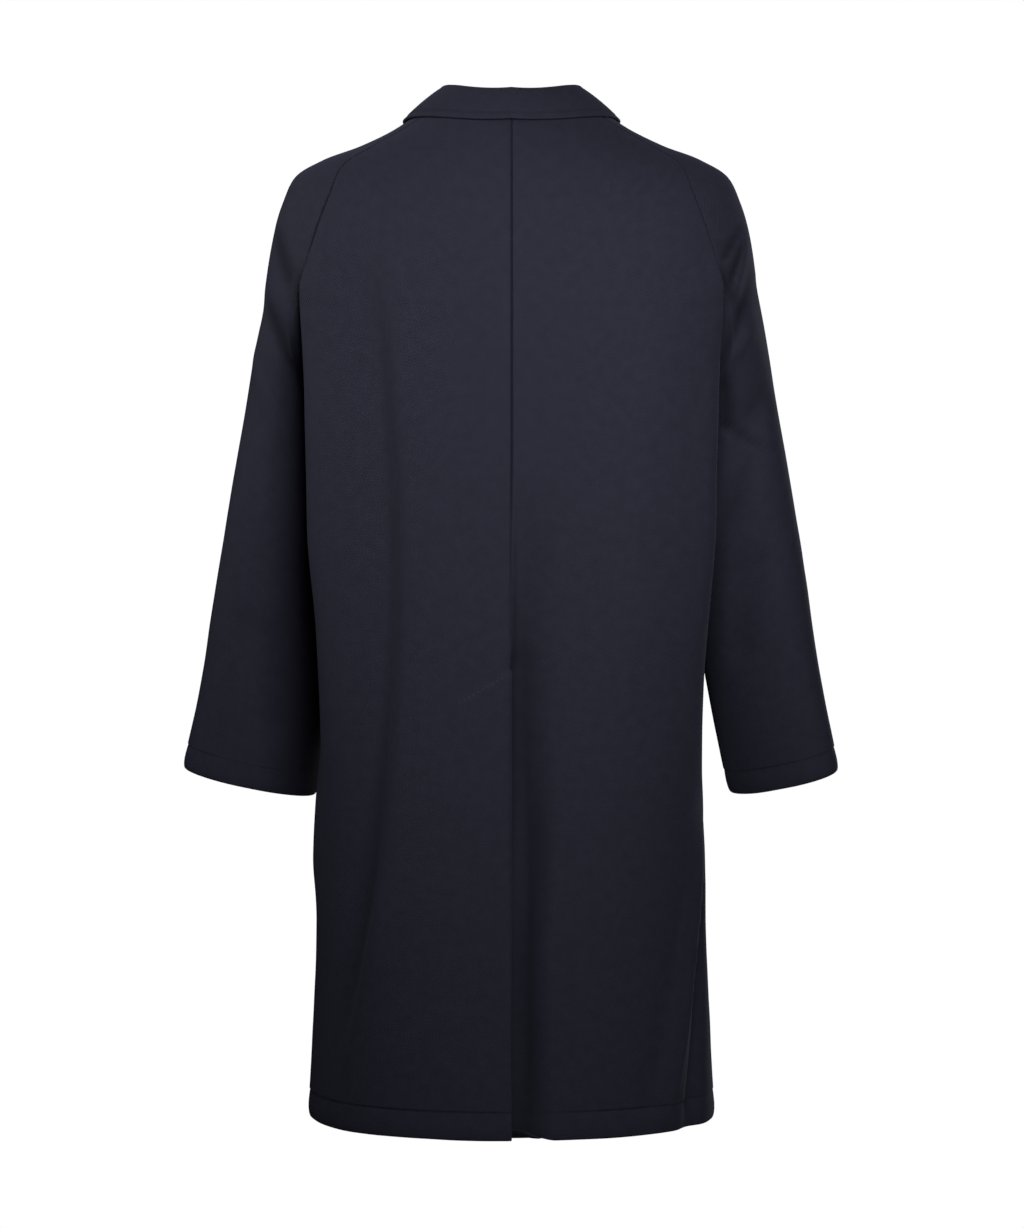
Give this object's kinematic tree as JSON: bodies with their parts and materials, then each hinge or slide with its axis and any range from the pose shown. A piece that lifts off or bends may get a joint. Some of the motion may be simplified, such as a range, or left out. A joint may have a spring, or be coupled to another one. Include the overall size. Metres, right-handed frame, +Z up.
{
  "type": "raglan coat",
  "caption": "Knee-length raglan coat in dark navy wool twill, worn form with no wearer: hollow body and sleeves, fold-down collar, buttoned front and a centre back vent.",
  "frame": {"origin": "middle of the neck opening, near the height of the side neck points, where the wearer's shoulders carry the coat", "axes": "+Z up along the coat's length, +X to the wearer's left, -Y out of the coat's front"},
  "size_m": [0.6592, 0.3347, 1.0243],
  "materials": {
    "navy_wool": "matte wool twill with a soft nap",
    "dark_horn": "satin dark horn"
  },
  "bodies": {
    "root": {"back_left_yoke": "navy_wool", "back_left_waist": "navy_wool", "back_left_skirt": "navy_wool", "back_right_yoke": "navy_wool", "back_right_waist": "navy_wool", "back_right_skirt": "navy_wool", "front_left_yoke": "navy_wool", "front_left_waist": "navy_wool", "front_left_skirt": "navy_wool", "front_right_yoke": "navy_wool", "front_right_waist": "navy_wool", "front_right_skirt": "navy_wool", "sleeve_back_left_cap": "navy_wool", "sleeve_back_left_arm": "navy_wool", "sleeve_back_left_forearm": "navy_wool", "sleeve_back_right_cap": "navy_wool", "sleeve_back_right_arm": "navy_wool", "sleeve_back_right_forearm": "navy_wool", "sleeve_front_left_cap": "navy_wool", "sleeve_front_left_arm": "navy_wool", "sleeve_front_left_forearm": "navy_wool", "sleeve_front_right_cap": "navy_wool", "sleeve_front_right_arm": "navy_wool", "sleeve_front_right_forearm": "navy_wool", "collar": "navy_wool", "button_1": "dark_horn", "button_2": "dark_horn", "button_3": "dark_horn", "button_4": "dark_horn"}
  },
  "joints": []
}
